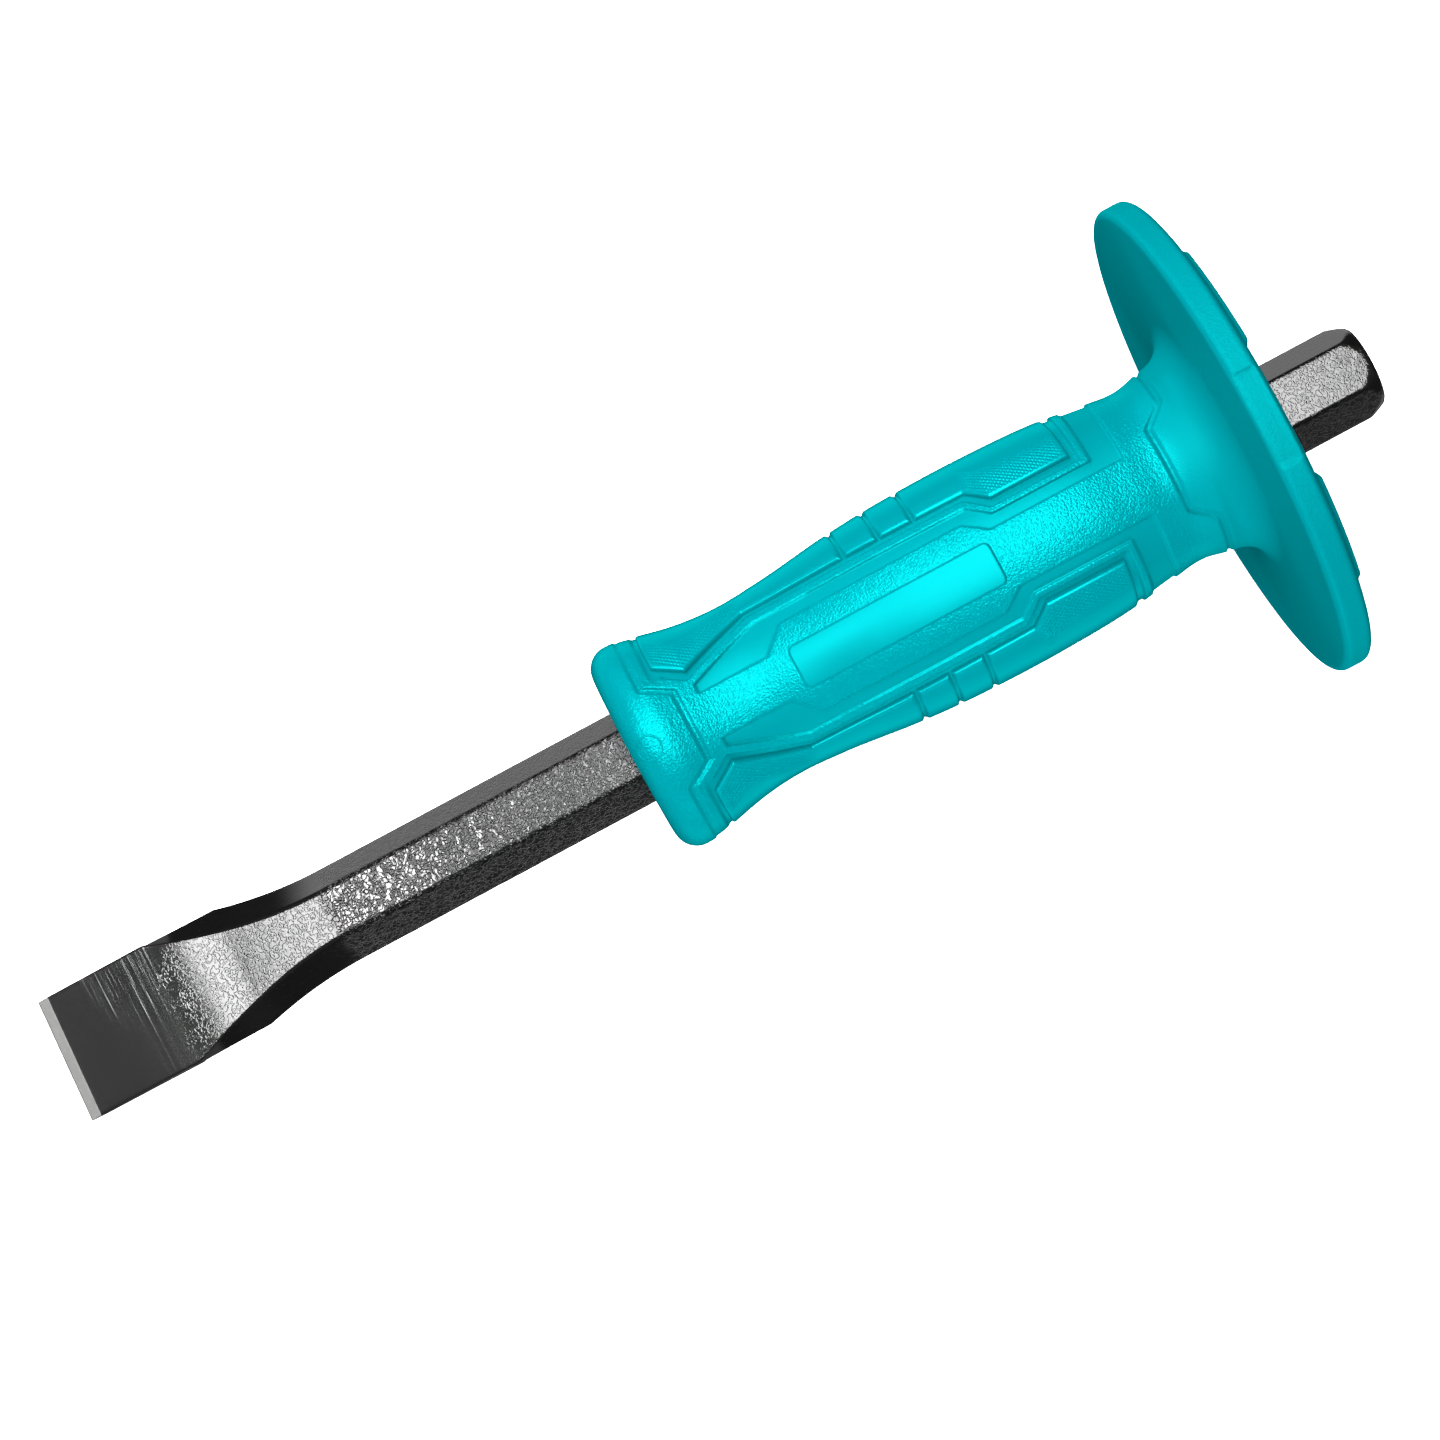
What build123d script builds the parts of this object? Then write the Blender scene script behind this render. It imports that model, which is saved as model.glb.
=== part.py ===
from build123d import *
from math import sqrt
import os

# Flat cold chisel with a moulded hand guard.
# +X runs along the tool to the striking face, +Z is square to the blade's broad faces.
# The origin is the centre of the striking face. All sizes are in millimetres.

# ---------------------------------------------------------------- driving sizes

# forged bar
overall_length = 271.5          # cutting edge to striking face
hex_across_flats = 16.0         # drawn hexagonal bar
blade_width = 24.1
edge_thickness = 0.2            # the honed edge is not a knife line
bevel_length = 1.9              # bright ground cutting bevel
bevel_root_thickness = 2.4      # blade thickness behind the bevel
ground_length = 22.5            # edge to where the ground face ends
ground_root_thickness = 4.4     # blade thickness there
parallel_length = 37.0          # edge to where the blade's parallel sides end
taper_length = 58.0             # edge to where the full hexagon starts
forge_sections = 5              # sections that carry each curved stretch of the forging

# struck end
head_chamfer_length = 4.9
head_chamfer_rise = 0.6         # the chamfer cone starts this far outside the corners
striking_face_radius = 7.7

# grip
head_projection = 25.4          # striking face to the guard's rear face
grip_length = 127.2             # front lip to the guard's rear face
grip_turn = 6.0                 # degrees that the grip sits out of line with the bar's flats
collar_radius = 20.45
collar_corner_radius = 4.5
waist_radius = 17.15
waist_from_front = 26.2
belly_radius = 20.2
belly_length = 14.0
belly_from_guard = 41.8         # rear end of the belly to the guard's front face
neck_radius = 17.4
neck_from_guard = 9.8
flare_start_radius = 18.7
flare_radius = 6.5

# guard
guard_radius = 47.8
guard_thickness = 5.7
rim_corner_radius = 1.5
rim_patch_length = 18.0         # blank recess for a size label
rim_patch_width = 4.0
rim_patch_depth = 0.35
rear_pad_width = 8.4
rear_pad_margin = 1.9           # pad's outer edge to the rim
rear_pad_height = 1.0
rear_pad_sweep = 31.0           # degrees
rear_pad_angle = 31.0           # degrees from the broad face's normal to the pad's middle

# line grooves across the grip: offsets are from the middle line, runs are along the tool
line_width = 1.1
line_depth = 0.5
front_line_start = 7.0          # grip's front to the line's sides
front_line_run = 5.1
front_line_offsets = (6.9, 10.0)
rear_line_start = 7.2           # guard's front face to the line's sides
rear_line_run = 4.4
rear_line_offsets = (8.2, 11.8)

# finger pads at the two sides, each inside one surrounding groove
pad_start = 10.0                # grip's front to the groove
pad_end = 25.7                  # guard's front face to the groove
pad_groove_width = 1.3
pad_groove_depth = 1.1
pad_nose_rise = 3.4
pad_nose_run = 5.4
pad_nose_offset = 8.2
pad_shoulder_run = 14.3
pad_side_offset = 13.1
pad_tail_run = 3.9
pad_tail_length = 17.3
pad_tail_offset = 9.8
cross_groove_count = 3
cross_groove_pitch = 7.15
cross_groove_width = 1.35
cross_groove_depth = 1.1
cross_groove_start = 9.9        # pad's rear knee to the nearest cross groove

# smooth channels between the finger pads and the middle panel
land_width = 1.8                # pad groove to channel
channel_depth = 0.5
channel_side_offset = 8.9
channel_nose_offset = 4.5
channel_nose_length = 14.0
channel_tail_offset = 5.75
channel_knee_run = 4.5
channel_rear_width = 5.8

# witness ring of the moulding gate
gate_ring_radius = 2.3
gate_ring_width = 0.4
gate_ring_depth = 0.25
gate_ring_start = 3.6           # grip's front to the ring's centre

# stiff inner sleeve
bore_clearance = 0.0            # the sleeve is a drive fit on the hexagon
sleeve_radius = 12.6
lip_length = 3.5                # soft lip over the sleeve's front end
skin_over_ribs = 1.2            # least soft wall between a rib and a relief groove
rib_count = 6
rib_width = 2.4
flange_thickness = 2.6
flange_rim_cover = 6.8          # soft rim outside the flange
flange_rear_cover = 1.4         # soft skin behind the flange
flange_hole_count = 8
flange_hole_radius = 3.0

# ---------------------------------------------------------------- worked-out places

hex_corner = hex_across_flats / sqrt(3)
edge_x = -overall_length
bevel_root_x = edge_x + bevel_length
ground_end_x = edge_x + ground_length
parallel_end_x = edge_x + parallel_length
taper_end_x = edge_x + taper_length

guard_rear_x = -head_projection
guard_front_x = guard_rear_x - guard_thickness
grip_front_x = guard_rear_x - grip_length
waist_x = grip_front_x + waist_from_front
belly_rear_x = guard_front_x - belly_from_guard
belly_front_x = belly_rear_x - belly_length
neck_x = guard_front_x - neck_from_guard
flare_x = guard_front_x - flare_radius
pad_front_x = grip_front_x + pad_start
pad_rear_x = guard_front_x - pad_end
pad_knee_x = pad_rear_x - pad_tail_length - pad_tail_run

rib_radius = waist_radius - pad_groove_depth - skin_over_ribs
flange_radius = guard_radius - flange_rim_cover
flange_rear_x = guard_rear_x - flange_rear_cover
flange_front_x = flange_rear_x - flange_thickness
flange_hole_circle = (sleeve_radius + flange_radius) / 2

reach = 2 * guard_radius        # longer than anything a cutter has to pass


# ---------------------------------------------------------------- helpers

def turned(lines):
    """A closed half-profile in the XY plane, turned about the tool's axis."""
    return revolve(make_face(Curve() + lines), axis=Axis.X, revolution_arc=360)


def through(face):
    """A face in the XY plane, pushed through the whole tool along Z."""
    return extrude(face, amount=reach, both=True)


def both_sides(cutter):
    return [cutter, mirror(cutter, about=Plane.XZ)]


def hex_prism(across_flats, start_x, end_x):
    """A hexagonal prism along X with one pair of flats facing up and down."""
    outline = RegularPolygon(radius=across_flats / sqrt(3), side_count=6)
    return extrude(Plane.YZ.offset(start_x) * outline, amount=end_x - start_x)


def disc(radius, start_x, end_x):
    """A round disc or tube blank on the tool's axis."""
    return extrude(Plane.YZ.offset(start_x) * Circle(radius), amount=end_x - start_x)


def seated(piece):
    """A piece of the grip, turned to where the grip sits on the bar."""
    return Rot(grip_turn, 0, 0) * piece


def around(piece, count):
    """Copies of a piece, evenly spaced round the tool's axis."""
    return [Rot(360 / count * i, 0, 0) * piece for i in range(count)]


# ---------------------------------------------------------------- forged bar

def forged_out(hexagon_value, full_width_x, station):
    """Half width of one edge of the hexagon where the die has spread it.

    The edge runs on a circular arc, tangent to the hexagon at the taper's end, that reaches
    the blade's half width at full_width_x. Towards the cutting edge it stays there.
    """
    run = (taper_end_x - station) / (taper_end_x - full_width_x)
    return hexagon_value + (blade_width / 2 - hexagon_value) * min(run, 1) ** 2


def half_thickness(station):
    """The blade thins in a straight line from the hexagon to the end of the ground face."""
    share = (station - ground_end_x) / (taper_end_x - ground_end_x)
    root = ground_root_thickness / 2
    return root + (hex_across_flats / 2 - root) * share


def forged_section(station):
    """Six-sided section: side corners on the mid plane, face corners above and below it."""
    side = forged_out(hex_corner, parallel_end_x, station)
    face = forged_out(hex_corner / 2, ground_end_x, station)
    height = half_thickness(station)
    corners = [(side, 0), (face, height), (-face, height)]
    corners += [(-side, 0), (-face, -height), (face, -height)]
    return Plane.YZ.offset(station) * make_face(Polyline(*corners, close=True))


def forged_stretch(start_x, end_x):
    step = (end_x - start_x) / (forge_sections - 1)
    return loft([forged_section(start_x + step * i) for i in range(forge_sections)])


def ground_blade():
    """The wedge-shaped end of the blade, with its cutting bevel."""
    upper = [(edge_x, edge_thickness / 2)]
    upper.append((bevel_root_x, bevel_root_thickness / 2))
    upper.append((ground_end_x, ground_root_thickness / 2))
    lower = [(x, -z) for x, z in reversed(upper)]
    profile = make_face(Polyline(*upper, *lower, close=True))
    return extrude(Plane.XZ * profile, amount=blade_width / 2, both=True)


def head_envelope():
    """A round bar with the head's chamfer cone, wide enough to hold the whole blade."""
    corners = [
        (edge_x - blade_width, 0),
        (edge_x - blade_width, blade_width),
        (-head_chamfer_length, blade_width),
        (-head_chamfer_length, hex_corner + head_chamfer_rise),
        (0, striking_face_radius),
        (0, 0),
    ]
    return turned([Polyline(*corners, close=True)])


def make_chisel_bar():
    """Hexagonal bar, forged out to a wide blade, ground to a bevel and turned at the head."""
    bar = hex_prism(hex_across_flats, taper_end_x, 0)
    bar += forged_stretch(parallel_end_x, taper_end_x)
    bar += forged_stretch(ground_end_x, parallel_end_x)
    bar += ground_blade()
    return bar & head_envelope()


# ---------------------------------------------------------------- grip outline

def s_curve(start, end):
    """A curve that leaves start and meets end level with the axis."""
    middle = (start[0] + end[0]) / 2
    return Bezier(start, (middle, start[1]), (middle, end[1]), end)


def side_line(inset):
    """The grip's side line from the front collar to the flare, moved in by inset."""
    collar = (grip_front_x + collar_corner_radius, collar_radius - inset)
    waist = (waist_x, waist_radius - inset)
    belly_front = (belly_front_x, belly_radius - inset)
    belly_rear = (belly_rear_x, belly_radius - inset)
    neck = (neck_x, neck_radius - inset)
    flare = (flare_x, flare_start_radius - inset)
    return [
        s_curve(collar, waist),
        s_curve(waist, belly_front),
        Line(belly_front, belly_rear),
        s_curve(belly_rear, neck),
        s_curve(neck, flare),
    ]


def grip_blank():
    """The grip and its guard as one turned blank, before any relief."""
    lip_edge = (grip_front_x, collar_radius - collar_corner_radius)
    collar = (grip_front_x + collar_corner_radius, collar_radius)
    flare_start = (flare_x, flare_start_radius)
    flare_end = (guard_front_x, flare_start_radius + flare_radius)
    rim_front = (guard_front_x, guard_radius)
    rim_rear = (guard_rear_x, guard_radius)
    lines = [Line((grip_front_x, 0), lip_edge)]
    lines.append(RadiusArc(lip_edge, collar, collar_corner_radius))
    lines += side_line(0)
    lines.append(RadiusArc(flare_start, flare_end, -flare_radius))
    lines.append(Polyline(flare_end, rim_front, rim_rear, (guard_rear_x, 0), (grip_front_x, 0)))
    blank = turned(lines)
    rim = blank.edges().filter_by(GeomType.CIRCLE).group_by(SortBy.RADIUS)[-1]
    return fillet(rim, rim_corner_radius)


def skin(depth):
    """The grip's outer layer, depth thick, and the room outside it, where relief is cut."""
    inner = side_line(depth)
    start = inner[0] @ 0
    end = inner[-1] @ 1
    outside = Polyline(end, (end.X, guard_radius), (start.X, guard_radius), start)
    return turned(inner + [outside])


# ---------------------------------------------------------------- grip relief

def kneed_line(side_x, straight_x, offsets):
    """A line right across the grip: straight in the middle, kneed to side_x at both sides."""
    inner, outer = offsets
    half = [(straight_x, inner), (side_x, outer), (side_x, reach)]
    other_half = [(x, -y) for x, y in reversed(half)]
    return trace(Polyline(*other_half, *half), line_width)


def front_line():
    side_x = grip_front_x + front_line_start
    return kneed_line(side_x, side_x + front_line_run, front_line_offsets)


def rear_line():
    side_x = guard_front_x - rear_line_start
    return kneed_line(side_x, side_x - rear_line_run, rear_line_offsets)


def pad_outline():
    """The line of the groove round one finger pad, from its front end to its rear end."""
    return [
        (pad_front_x, reach),
        (pad_front_x, pad_nose_offset + pad_nose_rise),
        (pad_front_x + pad_nose_run, pad_nose_offset),
        (pad_front_x + pad_nose_run + pad_shoulder_run, pad_side_offset),
        (pad_knee_x, pad_side_offset),
        (pad_knee_x + pad_tail_run, pad_tail_offset),
        (pad_rear_x, pad_tail_offset),
        (pad_rear_x, reach),
    ]


def channel_outline():
    """One channel: it keeps a land to the pad's groove and turns up behind the pad."""
    nose_x = pad_front_x + pad_nose_run
    slope_end_x = nose_x + channel_nose_length + channel_knee_run
    channel_front_x = pad_rear_x + land_width
    channel_rear_x = channel_front_x + channel_rear_width
    return [
        (nose_x, channel_nose_offset),
        (nose_x + channel_nose_length, channel_nose_offset),
        (slope_end_x, channel_side_offset),
        (pad_knee_x - land_width, channel_side_offset),
        (pad_knee_x - land_width + channel_knee_run, channel_tail_offset),
        (channel_rear_x, channel_tail_offset),
        (channel_rear_x, reach),
        (channel_front_x, reach),
        (channel_front_x, pad_tail_offset - land_width),
        (pad_knee_x + pad_tail_run - land_width / 2, pad_tail_offset - land_width),
        (pad_knee_x - land_width / 2, pad_side_offset - land_width),
        (nose_x + pad_shoulder_run, pad_side_offset - land_width),
        (nose_x, pad_nose_offset - land_width),
    ]


def cross_grooves():
    """Short grooves that split the middle of each finger pad into blocks."""
    last_x = pad_knee_x - cross_groove_start
    middle_y = pad_side_offset + reach / 2
    places = [last_x - cross_groove_pitch * i for i in range(cross_groove_count)]
    return [Pos(x, middle_y) * Rectangle(cross_groove_width, reach) for x in places]


def gate_ring():
    ring = Circle(gate_ring_radius) - Circle(gate_ring_radius - gate_ring_width)
    upward = extrude(ring, amount=reach)
    return Pos(grip_front_x + gate_ring_start, 0, 0) * upward


def collar_skin():
    """The outer layer of the front collar's level part and its rounded front corner."""
    inner_radius = collar_radius - gate_ring_depth
    level = disc(reach, grip_front_x, grip_front_x + collar_corner_radius + gate_ring_start)
    return level - disc(inner_radius, grip_front_x, grip_front_x + collar_corner_radius + gate_ring_start)


def rear_pads():
    """Raised arcs on the guard's rear face, two towards each broad side of the tool."""
    outer = guard_radius - rear_pad_margin
    block = Pos(guard_rear_x, outer - rear_pad_width / 2) * Rectangle(2 * rear_pad_height, rear_pad_width)
    pad = revolve(Plane.XZ * block, axis=Axis.X, revolution_arc=rear_pad_sweep)
    starts = [side * rear_pad_angle - rear_pad_sweep / 2 for side in (1, -1)]
    return [Rot(start + turn, 0, 0) * pad for start in starts for turn in (0, 180)]


def rim_patch():
    """Shallow blank recess in the rim, on the side that faces up."""
    middle_x = (guard_front_x + guard_rear_x) / 2
    block = Pos(middle_x, 0, guard_radius) * Box(rim_patch_width, rim_patch_length, guard_radius)
    return block - disc(guard_radius - rim_patch_depth, guard_front_x, guard_rear_x)


# ---------------------------------------------------------------- grip pieces

def core_envelope():
    """Outside of the stiff sleeve: a ribbed tube with a perforated flange for the guard."""
    core = disc(sleeve_radius, grip_front_x + lip_length, flange_rear_x)
    core += disc(flange_radius, flange_front_x, flange_rear_x)
    rib = Pos((waist_x + neck_x) / 2, 0, rib_radius / 2) * Box(neck_x - waist_x, rib_width, rib_radius)
    for copy in around(rib, rib_count):
        core += copy
    hole = Pos(flange_front_x, 0, flange_hole_circle) * Rot(0, 90, 0) * Cylinder(
        flange_hole_radius, 4 * flange_thickness)
    for copy in around(hole, flange_hole_count):
        core -= copy
    return core


def make_grip_core():
    """Stiff sleeve that is driven onto the hexagon and stiffens the guard."""
    bore = hex_prism(hex_across_flats + 2 * bore_clearance, grip_front_x, guard_rear_x)
    return seated(core_envelope()) - bore


def make_grip_cover():
    """Soft moulded grip and guard, which wraps the sleeve on every side."""
    cover = grip_blank()
    for pad in rear_pads():
        cover += pad
    cover -= rim_patch()
    for line in (front_line(), rear_line()):
        cover -= through(line) & skin(line_depth)

    grooves = [(trace(Polyline(*pad_outline()), pad_groove_width), pad_groove_depth)]
    grooves += [(face, cross_groove_depth) for face in cross_grooves()]
    grooves.append((make_face(Polyline(*channel_outline(), close=True)), channel_depth))
    for face, depth in grooves:
        for cutter in both_sides(through(face) & skin(depth)):
            cover -= cutter

    cover -= gate_ring() & collar_skin()
    bore = hex_prism(hex_across_flats, grip_front_x - lip_length, guard_rear_x + lip_length)
    return seated(cover - core_envelope()) - bore


# ---------------------------------------------------------------- write the pieces

pieces = {
    "chisel_bar": make_chisel_bar(),
    "grip_core": make_grip_core(),
    "grip_cover": make_grip_cover(),
}

os.makedirs("parts", exist_ok=True)
for name, piece in pieces.items():
    export_step(piece, "parts/" + name + ".step")
    print(name, "volume", round(piece.volume), "solids", len(piece.solids()))
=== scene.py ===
"""Builds the finished look of a guarded cold chisel round its fixed CAD frame."""
import math

import bpy
import numpy as np
from bpy.props import FloatProperty, PointerProperty, StringProperty
from mathutils import Matrix, Vector


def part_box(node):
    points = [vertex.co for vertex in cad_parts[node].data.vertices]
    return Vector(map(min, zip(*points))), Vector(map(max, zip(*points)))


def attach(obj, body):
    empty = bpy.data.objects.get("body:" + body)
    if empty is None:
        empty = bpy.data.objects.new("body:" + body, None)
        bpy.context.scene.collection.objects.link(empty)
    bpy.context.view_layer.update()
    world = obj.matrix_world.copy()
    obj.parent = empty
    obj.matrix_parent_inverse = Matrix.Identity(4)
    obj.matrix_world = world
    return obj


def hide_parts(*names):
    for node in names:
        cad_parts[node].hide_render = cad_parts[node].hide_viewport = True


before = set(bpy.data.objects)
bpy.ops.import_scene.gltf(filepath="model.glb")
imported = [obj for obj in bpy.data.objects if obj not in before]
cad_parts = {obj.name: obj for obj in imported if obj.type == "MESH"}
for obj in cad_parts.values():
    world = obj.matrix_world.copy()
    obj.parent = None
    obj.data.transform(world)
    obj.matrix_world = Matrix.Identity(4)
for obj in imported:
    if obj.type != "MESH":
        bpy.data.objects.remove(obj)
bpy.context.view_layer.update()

bl_info = {
    "name": "Guarded cold chisel",
    "version": (1, 0, 0),
    "blender": (4, 5, 0),
    "location": "View3D > Sidebar > Chisel",
    "description": "Makes the bar, the moulded grip and the studio of a guarded cold chisel",
    "category": "Object",
}

MM = 0.001
BAR_LOW, BAR_HIGH = [np.array(corner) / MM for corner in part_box("chisel_bar")]
COVER_LOW, COVER_HIGH = [np.array(corner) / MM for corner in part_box("grip_cover")]
CORE_HIGH = np.array(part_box("grip_core")[1]) / MM

EDGE_X = BAR_LOW[0]                     # cutting edge
BLADE_HALF = BAR_HIGH[1]
HEX_APOTHEM = BAR_HIGH[2]
HEX_CORNER = HEX_APOTHEM / math.cos(math.pi / 6)
GRIP_X = COVER_LOW[0]                   # front of the grip
GUARD_RADIUS = COVER_HIGH[1]
REAR_PAD_HEIGHT = 1.0
REAR_PAD_SLOPE = 0.035                  # radians that each end of a rear pad takes to rise
GUARD_THICKNESS = 5.7
GUARD_REAR = COVER_HIGH[0] - REAR_PAD_HEIGHT - GRIP_X    # from the grip's front
GUARD_FRONT = GUARD_REAR - GUARD_THICKNESS
GRIP_TURN = math.radians(6.0)           # how far the grip sits out of line with the bar's flats


# ---------------- settings

class ChiselBarSettings(bpy.types.PropertyGroup):
    """Sizes and colours of the forged bar that the frame leaves open."""

    bevel_length: FloatProperty(
        name="Bevel length", description="Length of the bright ground cutting bevel, in mm",
        default=2.2, min=0.5, max=6.0)
    corner_radius: FloatProperty(
        name="Face corner radius", description="Rounding of the hexagon beside its broad flats, in mm",
        default=1.1, min=0.2, max=2.0)
    side_corner_radius: FloatProperty(
        name="Side corner radius", description="Rounding of the hexagon's two side corners, in mm",
        default=0.4, min=0.1, max=2.0)
    blade_corner_radius: FloatProperty(
        name="Blade corner radius", description="Rounding of the blade's long corners, in mm",
        default=0.3, min=0.05, max=1.0)
    skin_waviness: FloatProperty(
        name="Skin waviness", description="Height of the forged skin's slow waves, in mm",
        default=0.006, min=0.0, max=0.2)
    lacquer_colour: StringProperty(
        name="Lacquer", description="Colour of the black lacquer, sRGB hex", default="030303")
    steel_colour: StringProperty(
        name="Bare steel", description="Colour of the ground bevel, sRGB hex", default="C6C6C4")


class GripSettings(bpy.types.PropertyGroup):
    """Sizes and colours of the moulded grip and guard."""

    flare_radius: FloatProperty(
        name="Flare radius", description="Fillet between the neck and the guard, in mm",
        default=6.5, min=2.0, max=12.0)
    rim_radius: FloatProperty(
        name="Rim radius", description="Rounding of the guard's rim, in mm",
        default=1.5, min=0.3, max=2.5)
    channel_depth: FloatProperty(
        name="Channel depth", description="Depth of the smooth side channels, in mm",
        default=0.5, min=0.1, max=1.0)
    line_depth: FloatProperty(
        name="Line depth", description="Depth of the kneed line grooves, in mm",
        default=0.55, min=0.1, max=1.0)
    pad_depth: FloatProperty(
        name="Pad groove depth", description="Depth of the groove round a finger pad, in mm",
        default=0.95, min=0.4, max=2.0)
    knurl_height: FloatProperty(
        name="Knurl height", description="Height of the diamond knurl on the finger pads, in mm",
        default=0.16, min=0.0, max=0.3)
    grip_colour: StringProperty(
        name="Grip", description="Colour of the soft moulding, sRGB hex", default="005B62")
    core_colour: StringProperty(
        name="Core", description="Colour of the stiff inner sleeve, sRGB hex", default="2A2C2E")


class StudioSettings(bpy.types.PropertyGroup):
    """Floor, lights and camera."""

    floor_colour: StringProperty(
        name="Floor", description="Colour of the floor, sRGB hex", default="F6F6F6")
    camera_distance: FloatProperty(
        name="Camera distance", description="Camera above the tool's axis",
        default=0.661, min=0.2, max=3.0, unit="LENGTH")
    camera_turn: FloatProperty(
        name="Camera turn", description="Turn of the camera about its line of sight",
        default=math.radians(-28.2), subtype="ANGLE")
    light_scale: FloatProperty(
        name="Light", description="Scales every lamp's strength", default=1.0, min=0.0, max=10.0)


# ---------------- numbers and curves

def linear_rgb(code, share=1.0):
    """A share of an sRGB hex code's colour as linear red, green, blue and full cover."""
    channels = np.array([int(code[i:i + 2], 16) for i in (0, 2, 4)]) / 255
    low = channels / 12.92
    high = ((channels + 0.055) / 1.055) ** 2.4
    return (*(share * np.where(channels <= 0.04045, low, high)), 1)


def ease(low, high, value):
    """0 below low, 1 above high, and a smooth step between them."""
    share = np.clip((value - low) / (high - low), 0, 1)
    return share * share * (3 - 2 * share)


def soft_min(a, b, radius):
    """The lower of two heights, with the corner between them rounded over radius."""
    blend = np.clip(0.5 + 0.5 * (b - a) / radius, 0, 1)
    return b + (a - b) * blend - radius * blend * (1 - blend)


def curve_through(stations, values, at):
    """A smooth curve through a few points: a cubic on each span, with slopes from its neighbours."""
    stations = np.array(stations, float)
    values = np.array(values, float)
    slopes = np.gradient(values, stations)
    span = np.clip(np.searchsorted(stations, at) - 1, 0, len(stations) - 2)
    width = stations[span + 1] - stations[span]
    t = np.clip((at - stations[span]) / width, 0, 1)
    start = values[span] * (1 + 2 * t) * (1 - t) ** 2 + slopes[span] * width * t * (1 - t) ** 2
    end = values[span + 1] * t * t * (3 - 2 * t) + slopes[span + 1] * width * t * t * (t - 1)
    return start + end


def stations_of(*spans):
    """Row stations: each span is (start, end, spacing), and the last end closes the list."""
    rows = []
    for start, end, spacing in spans:
        count = max(1, round(abs(end - start) / spacing))
        rows.append(np.linspace(start, end, count, endpoint=False))
    return np.append(np.concatenate(rows), spans[-1][1])


def wave_field(points, wavelength, seed):
    """Smooth random heights about 0: many plane waves of like wavelength in random directions."""
    random = np.random.default_rng(seed)
    total = np.zeros(points.shape[:-1])
    count = 24
    for _ in range(count):
        way = random.normal(size=3)
        way *= 2 * math.pi / (wavelength * random.uniform(0.8, 1.4) * np.linalg.norm(way))
        total += np.sin(points @ way + random.uniform(0, 2 * math.pi))
    return total / math.sqrt(count / 2)


def distance_to_line(x, y, line):
    """Distance from each point to a line of straight runs, on the grip unrolled flat."""
    nearest = np.full(x.shape, np.inf)
    for (ax, ay), (bx, by) in zip(line[:-1], line[1:]):
        run = (bx - ax) ** 2 + (by - ay) ** 2
        share = np.clip(((x - ax) * (bx - ax) + (y - ay) * (by - ay)) / run, 0, 1)
        nearest = np.minimum(nearest, np.hypot(x - ax - share * (bx - ax), y - ay - share * (by - ay)))
    return nearest


def depth_inside(x, y, outline):
    """Signed distance to a closed outline: positive inside it, negative outside."""
    inside = np.zeros(x.shape, bool)
    closed = outline + [outline[0]]
    for (ax, ay), (bx, by) in zip(closed[:-1], closed[1:]):
        if ay != by:
            crosses = (ay > y) != (by > y)
            inside ^= crosses & (x < ax + (y - ay) * (bx - ax) / (by - ay))
    return distance_to_line(x, y, closed) * np.where(inside, 1, -1)


# ---------------- meshes

def sheet_faces(rows, columns, rows_close):
    """Quads of a grid whose columns close round, and whose rows may close too."""
    row_count = rows if rows_close else rows - 1
    row, column = np.meshgrid(np.arange(row_count), np.arange(columns), indexing="ij")
    row_next = (row + 1) % rows
    column_next = (column + 1) % columns
    corners = [row * columns + column, row * columns + column_next,
               row_next * columns + column_next, row_next * columns + column]
    return np.stack(corners, -1).reshape(-1, 4)


def new_piece(name, points, faces, fans=(), material=None):
    """A mesh object at the origin from points in mm, quads and (centre, ring) fans."""
    triangles = [np.stack([np.full(len(ring), centre), ring, np.roll(ring, -1)], -1)
                 for centre, ring in fans]
    mesh = bpy.data.meshes.new(name)
    polygons = faces.tolist()
    for fan in triangles:
        polygons += fan.tolist()
    mesh.from_pydata((points.reshape(-1, 3) * MM).tolist(), [], polygons)
    mesh.polygons.foreach_set("use_smooth", np.ones(len(mesh.polygons), bool))
    if material:
        mesh.materials.append(material)
    mesh.update()
    piece = bpy.data.objects.new(name, mesh)
    bpy.context.scene.collection.objects.link(piece)
    return piece


def closed_tube(name, points, flipped, material):
    """A piece from rows of closed sections, with a fan round the middle of each end section.

    Flipped turns every face over, for sections that run the other way round.
    """
    rows, columns = points.shape[:2]
    count = rows * columns
    flat = np.concatenate([points.reshape(-1, 3), [points[0].mean(0), points[-1].mean(0)]])
    faces = sheet_faces(rows, columns, False)
    fans = [(count, np.arange(columns)[::-1]), (count + 1, count - columns + np.arange(columns))]
    if flipped:
        faces = faces[:, ::-1]
        fans = [(centre, ring[::-1]) for centre, ring in fans]
    return new_piece(name, flat, faces, fans, material)


def add_share(piece, name, values):
    """A 0 to 1 value at each grid point, which the material reads by name; 0 at the end centres."""
    shares = np.zeros(len(piece.data.vertices), np.float32)
    shares[:values.size] = values.reshape(-1)
    attribute = piece.data.attributes.new(name, "FLOAT", "POINT")
    attribute.data.foreach_set("value", shares)


def place_piece(piece, slot, *nodes):
    """Puts a finished piece on the tool's body in place of its CAD nodes."""
    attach(piece, "root")
    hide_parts(*nodes)


# ---------------- node trees

SMOOTH = {"interpolation_type": "SMOOTHSTEP"}
COLOURS = {"data_type": "RGBA"}     # its inputs are 0, 6 and 7, and its output is 2


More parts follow.
